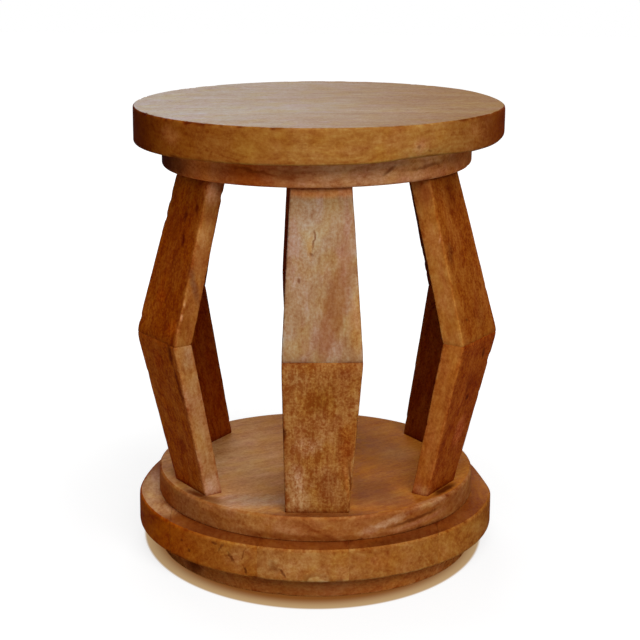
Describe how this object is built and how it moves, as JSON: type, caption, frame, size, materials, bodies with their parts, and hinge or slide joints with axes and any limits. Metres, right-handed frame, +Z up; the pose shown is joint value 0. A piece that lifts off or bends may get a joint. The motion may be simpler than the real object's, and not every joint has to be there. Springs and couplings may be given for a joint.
{
  "type": "stool",
  "caption": "Round solid wood stool: a disc seat over a smaller collar, flat kneed legs that bow outward, and a stepped round base.",
  "frame": {"origin": "centre of the underside of the foot disc, on the floor", "axes": "+Z up through the middle of the seat, -Y towards the front leg, +X to the right seen from the front"},
  "size_m": [0.36, 0.3642, 0.45],
  "materials": {
    "seat_wood": "thin satin oil on pale pinkish tan hardwood",
    "collar_wood": "thin satin oil on reddish brown hardwood",
    "upper_leg_wood": "thin satin oil, dark on the outer faces and paler on the edges",
    "lower_leg_wood": "thin satin oil on mottled golden brown hardwood",
    "step_wood": "thin satin oil with a pale sapwood streak",
    "base_wood": "thin satin oil on golden hardwood, with small checks and a knot",
    "foot_wood": "thin dull oil on dark brown hardwood",
    "dowel_wood": "bare pale beech",
    "screw_zinc": "zinc plated"
  },
  "bodies": {
    "root": {"foot_disc": "foot_wood", "base_board_1": "base_wood", "base_board_2": "base_wood", "base_board_3": "base_wood", "base_board_4": "base_wood", "base_board_5": "base_wood", "step_disc": "step_wood", "collar_disc": "collar_wood", "seat_board_1": "seat_wood", "seat_board_2": "seat_wood", "seat_board_3": "seat_wood", "seat_board_4": "seat_wood", "upper_leg_front": "upper_leg_wood", "lower_leg_front": "lower_leg_wood", "knee_dowel_front_1": "dowel_wood", "knee_dowel_front_2": "dowel_wood", "leg_top_screw_front": "screw_zinc", "leg_foot_screw_front": "screw_zinc", "upper_leg_front_right": "upper_leg_wood", "lower_leg_front_right": "lower_leg_wood", "knee_dowel_front_right_1": "dowel_wood", "knee_dowel_front_right_2": "dowel_wood", "leg_top_screw_front_right": "screw_zinc", "leg_foot_screw_front_right": "screw_zinc", "upper_leg_back_right": "upper_leg_wood", "lower_leg_back_right": "lower_leg_wood", "knee_dowel_back_right_1": "dowel_wood", "knee_dowel_back_right_2": "dowel_wood", "leg_top_screw_back_right": "screw_zinc", "leg_foot_screw_back_right": "screw_zinc", "upper_leg_back": "upper_leg_wood", "lower_leg_back": "lower_leg_wood", "knee_dowel_back_1": "dowel_wood", "knee_dowel_back_2": "dowel_wood", "leg_top_screw_back": "screw_zinc", "leg_foot_screw_back": "screw_zinc", "upper_leg_back_left": "upper_leg_wood", "lower_leg_back_left": "lower_leg_wood", "knee_dowel_back_left_1": "dowel_wood", "knee_dowel_back_left_2": "dowel_wood", "leg_top_screw_back_left": "screw_zinc", "leg_foot_screw_back_left": "screw_zinc", "upper_leg_front_left": "upper_leg_wood", "lower_leg_front_left": "lower_leg_wood", "knee_dowel_front_left_1": "dowel_wood", "knee_dowel_front_left_2": "dowel_wood", "leg_top_screw_front_left": "screw_zinc", "leg_foot_screw_front_left": "screw_zinc", "seat_screw_1": "screw_zinc", "seat_screw_2": "screw_zinc", "seat_screw_3": "screw_zinc", "seat_screw_4": "screw_zinc", "base_screw_1": "screw_zinc", "base_screw_2": "screw_zinc", "base_screw_3": "screw_zinc", "base_screw_4": "screw_zinc"}
  },
  "joints": []
}
